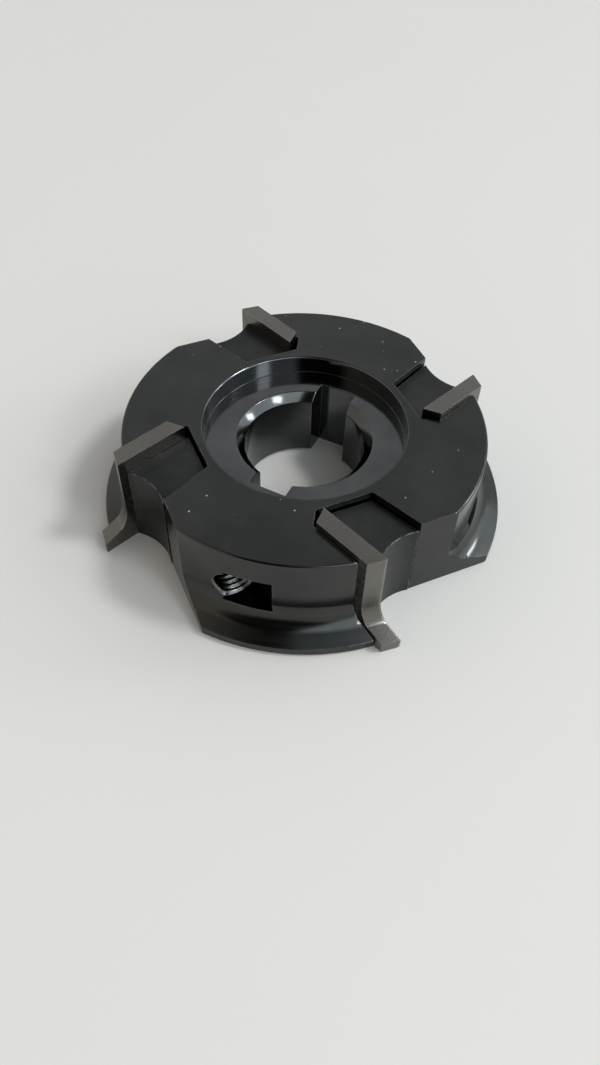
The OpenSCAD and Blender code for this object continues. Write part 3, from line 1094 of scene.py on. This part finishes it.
def floor_material(finish):
    """A pale matt sheet with a faint mottle. It is clear from below, and to light that
    leaves the underside right above it, so that the underside can be seen."""
    material = bpy.data.materials.new("pale_floor")
    material.use_nodes = True
    tree = material.node_tree
    shader = tree.nodes["Principled BSDF"]
    cloud = use(tree, "Mottle", Coarse=6.0, Fine=900.0)
    tone = spread(tree, cloud.outputs["Cloud"])
    paler = [min(1, c * 1.02) for c in finish.floor]
    tree.links.new(blend_colours(tree, tone, rgba(finish.floor), rgba(paler)),
                   shader.inputs["Base Color"])
    tree.links.new(spread(tree, cloud.outputs["Grain"], 0.6, 0.75), shader.inputs["Roughness"])
    clear = add(tree, "ShaderNodeBsdfTransparent")
    mix = add(tree, "ShaderNodeMixShader")
    below = add(tree, "ShaderNodeNewGeometry")
    path = add(tree, "ShaderNodeLightPath")
    near = maths(tree, "LESS_THAN", path.outputs["Ray Length"], UNDERSIDE_REACH)
    tree.links.new(maths(tree, "MAXIMUM", below.outputs["Backfacing"], near), mix.inputs[0])
    tree.links.new(shader.outputs[0], mix.inputs[1])
    tree.links.new(clear.outputs[0], mix.inputs[2])
    tree.links.new(mix.outputs[0], tree.nodes["Material Output"].inputs["Surface"])
    return material


def heading(azimuth, elevation):
    """Unit vector at an azimuth from +X and an elevation, in degrees."""
    a, e = math.radians(azimuth), math.radians(elevation)
    return Vector((math.cos(a) * math.cos(e), math.sin(a) * math.cos(e), math.sin(e)))


def hang_light(name, kind, azimuth, elevation, tint):
    """A light that faces the object from a heading."""
    data = bpy.data.lights.new(name, kind)
    data.color = tint
    lamp = bpy.data.objects.new(name, data)
    toward = heading(azimuth, elevation)
    lamp.location = toward * LIGHT_DISTANCE
    lamp.rotation_euler = (-toward).to_track_quat("-Z", "Y").to_euler()
    bpy.context.scene.collection.objects.link(lamp)
    return data


def soft_box(name, azimuth, elevation, size, radiance, tint):
    """A rectangular light of a given radiance."""
    data = hang_light(name, "AREA", azimuth, elevation, tint)
    data.shape = "RECTANGLE"
    data.size, data.size_y = size
    data.energy = radiance * math.pi * size[0] * size[1]


def surroundings(scene, stage):
    """A pale room under a dark ceiling, with a tall window to the right and a dark patch
    where the viewer stands."""
    world = bpy.data.worlds.new("surroundings")
    scene.world = world
    world.use_nodes = True
    tree = world.node_tree
    backdrop = tree.nodes["Background"]
    where = add(tree, "ShaderNodeTexCoord")

    def facing(direction, low, high, to_low, to_high):
        dot = add(tree, "ShaderNodeVectorMath", operation="DOT_PRODUCT")
        tree.links.new(where.outputs["Generated"], dot.inputs[0])
        dot.inputs[1].default_value = direction
        return curve(tree, dot.outputs["Value"], low, high, to_low, to_high)

    # Each patch has a heading, the cosines where it starts and is full, and its values there
    ceiling = facing(heading(90, 88), 0.76, 0.93, 1.0, 0.14)
    viewer = facing(heading(-98, 42), 0.86, 0.92, 1.0, 0.06)
    room = maths(tree, "MULTIPLY", maths(tree, "MULTIPLY", ceiling, viewer), stage.sky)
    window = facing(heading(-12, 42), 0.63, 0.67, 0.0, 1.0)
    warmth = facing(heading(215, 10), -0.1, 0.9, 0.0, 1.0)
    pane = maths(tree, "MULTIPLY", maths(tree, "MULTIPLY", ceiling, window), stage.window)
    tree.links.new(maths(tree, "MAXIMUM", room, pane), backdrop.inputs["Strength"])
    tint = blend_colours(tree, warmth, (0.98, 0.99, 1.0, 1.0), (1.0, 0.9, 0.75, 1.0))
    tint = blend_colours(tree, window, tint, (0.88, 0.95, 1.0, 1.0))
    tree.links.new(tint, backdrop.inputs["Color"])


def build_camera(stage):
    """The camera looks down on the top face, with its own small pan, tilt and roll."""
    target = Vector((0, 0, BODY_BOX[1].z))
    back = Vector((0, -math.cos(stage.elevation), math.sin(stage.elevation)))
    up = Vector((0, math.sin(stage.elevation), math.cos(stage.elevation)))
    right = Vector((1, 0, 0))
    facing = Matrix((right, up, back))
    turned_by = (Matrix.Rotation(-stage.pan, 3, "Y") @ Matrix.Rotation(stage.tilt, 3, "X")
                 @ Matrix.Rotation(stage.roll, 3, "Z"))
    rows = turned_by @ facing
    camera = bpy.data.objects.new("camera", bpy.data.cameras.new("camera"))
    camera.matrix_world = Matrix.Translation(target + back * stage.distance) @ (
        rows.transposed().to_4x4())
    camera.data.lens = stage.lens
    camera.data.sensor_width = 36
    camera.data.clip_start = 0.005
    bpy.context.scene.collection.objects.link(camera)
    bpy.context.scene.camera = camera


def build_stage(scene):
    """Floor, surroundings, lights and camera."""
    stage = scene.mill_stage
    reach = 8.0
    corners = [(-reach, -reach, 0), (reach, -reach, 0), (reach, reach, 0), (-reach, reach, 0)]
    mesh = bpy.data.meshes.new("floor")
    mesh.from_pydata(corners, [], [(0, 1, 2, 3)])
    floor = bpy.data.objects.new("floor", mesh)
    scene.collection.objects.link(floor)
    floor.location.z = CAD_BOX[0].z - SKIN
    mesh.materials.append(floor_material(scene.mill_finish))
    surroundings(scene, stage)
    sun = hang_light("main light", "SUN", 5, 52, (1.0, 0.985, 0.955))
    sun.energy = stage.sun
    sun.angle = math.radians(11)
    soft_box("front right box", -38, 40, (0.12, 0.09), stage.box, (0.95, 0.98, 1.0))
    soft_box("right box", 13, 21, (0.10, 0.08), stage.box, (0.95, 0.98, 1.0))
    build_camera(stage)
    scene.view_settings.view_transform = "Standard"


# Operators, panel and registration

class BuildStep:
    """What the build operators share."""
    bl_options = {"REGISTER", "UNDO"}

    def execute(self, context):
        self.build(context.scene)
        return {"FINISHED"}


class MILL_OT_body(BuildStep, bpy.types.Operator):
    """Build the slotted body with its tapped holes"""
    bl_idname = "mill.build_body"
    bl_label = "Body"
    build = staticmethod(build_body)


class MILL_OT_knives(BuildStep, bpy.types.Operator):
    """Build the four profile knives"""
    bl_idname = "mill.build_knives"
    bl_label = "Knives"
    build = staticmethod(build_knives)


class MILL_OT_wedges(BuildStep, bpy.types.Operator):
    """Build the four clamping wedges"""
    bl_idname = "mill.build_wedges"
    bl_label = "Wedges"
    build = staticmethod(build_wedges)


class MILL_OT_screws(BuildStep, bpy.types.Operator):
    """Build the four threaded set screws"""
    bl_idname = "mill.build_screws"
    bl_label = "Set screws"
    build = staticmethod(build_screws)


class MILL_OT_pins(BuildStep, bpy.types.Operator):
    """Finish the eight locating pins"""
    bl_idname = "mill.finish_pins"
    bl_label = "Locating pins"
    build = staticmethod(finish_pins)


class MILL_OT_stage(BuildStep, bpy.types.Operator):
    """Build the floor, the lights and the camera"""
    bl_idname = "mill.build_stage"
    bl_label = "Stage"
    build = staticmethod(build_stage)


STEPS = (MILL_OT_stage, MILL_OT_body, MILL_OT_knives, MILL_OT_wedges, MILL_OT_screws,
         MILL_OT_pins)


class MILL_PT_panel(bpy.types.Panel):
    """Lists the build steps of the milling head"""
    bl_idname = "MILL_PT_panel"
    bl_label = "Milling head"
    bl_space_type = "VIEW_3D"
    bl_region_type = "UI"
    bl_category = "Milling head"

    def draw(self, context):
        for step in STEPS:
            self.layout.operator(step.bl_idname)
        for name, kind in SETTINGS.items():
            box = self.layout.box()
            box.label(text=kind.__doc__)
            for prop in kind.__annotations__:
                box.prop(getattr(context.scene, name), prop)


CLASSES = (*SETTINGS.values(), *STEPS, MILL_PT_panel)


def register():
    """Registers the classes and hangs the settings on the scene."""
    for kind in CLASSES:
        bpy.utils.register_class(kind)
    for name, kind in SETTINGS.items():
        setattr(bpy.types.Scene, name, bpy.props.PointerProperty(type=kind))


def unregister():
    """Takes the settings and the classes away again."""
    for name in SETTINGS:
        delattr(bpy.types.Scene, name)
    for kind in reversed(CLASSES):
        bpy.utils.unregister_class(kind)


def main():
    register()
    for step in STEPS:
        group, name = step.bl_idname.split(".")
        getattr(getattr(bpy.ops, group), name)()


if __name__ == "__main__":
    main()
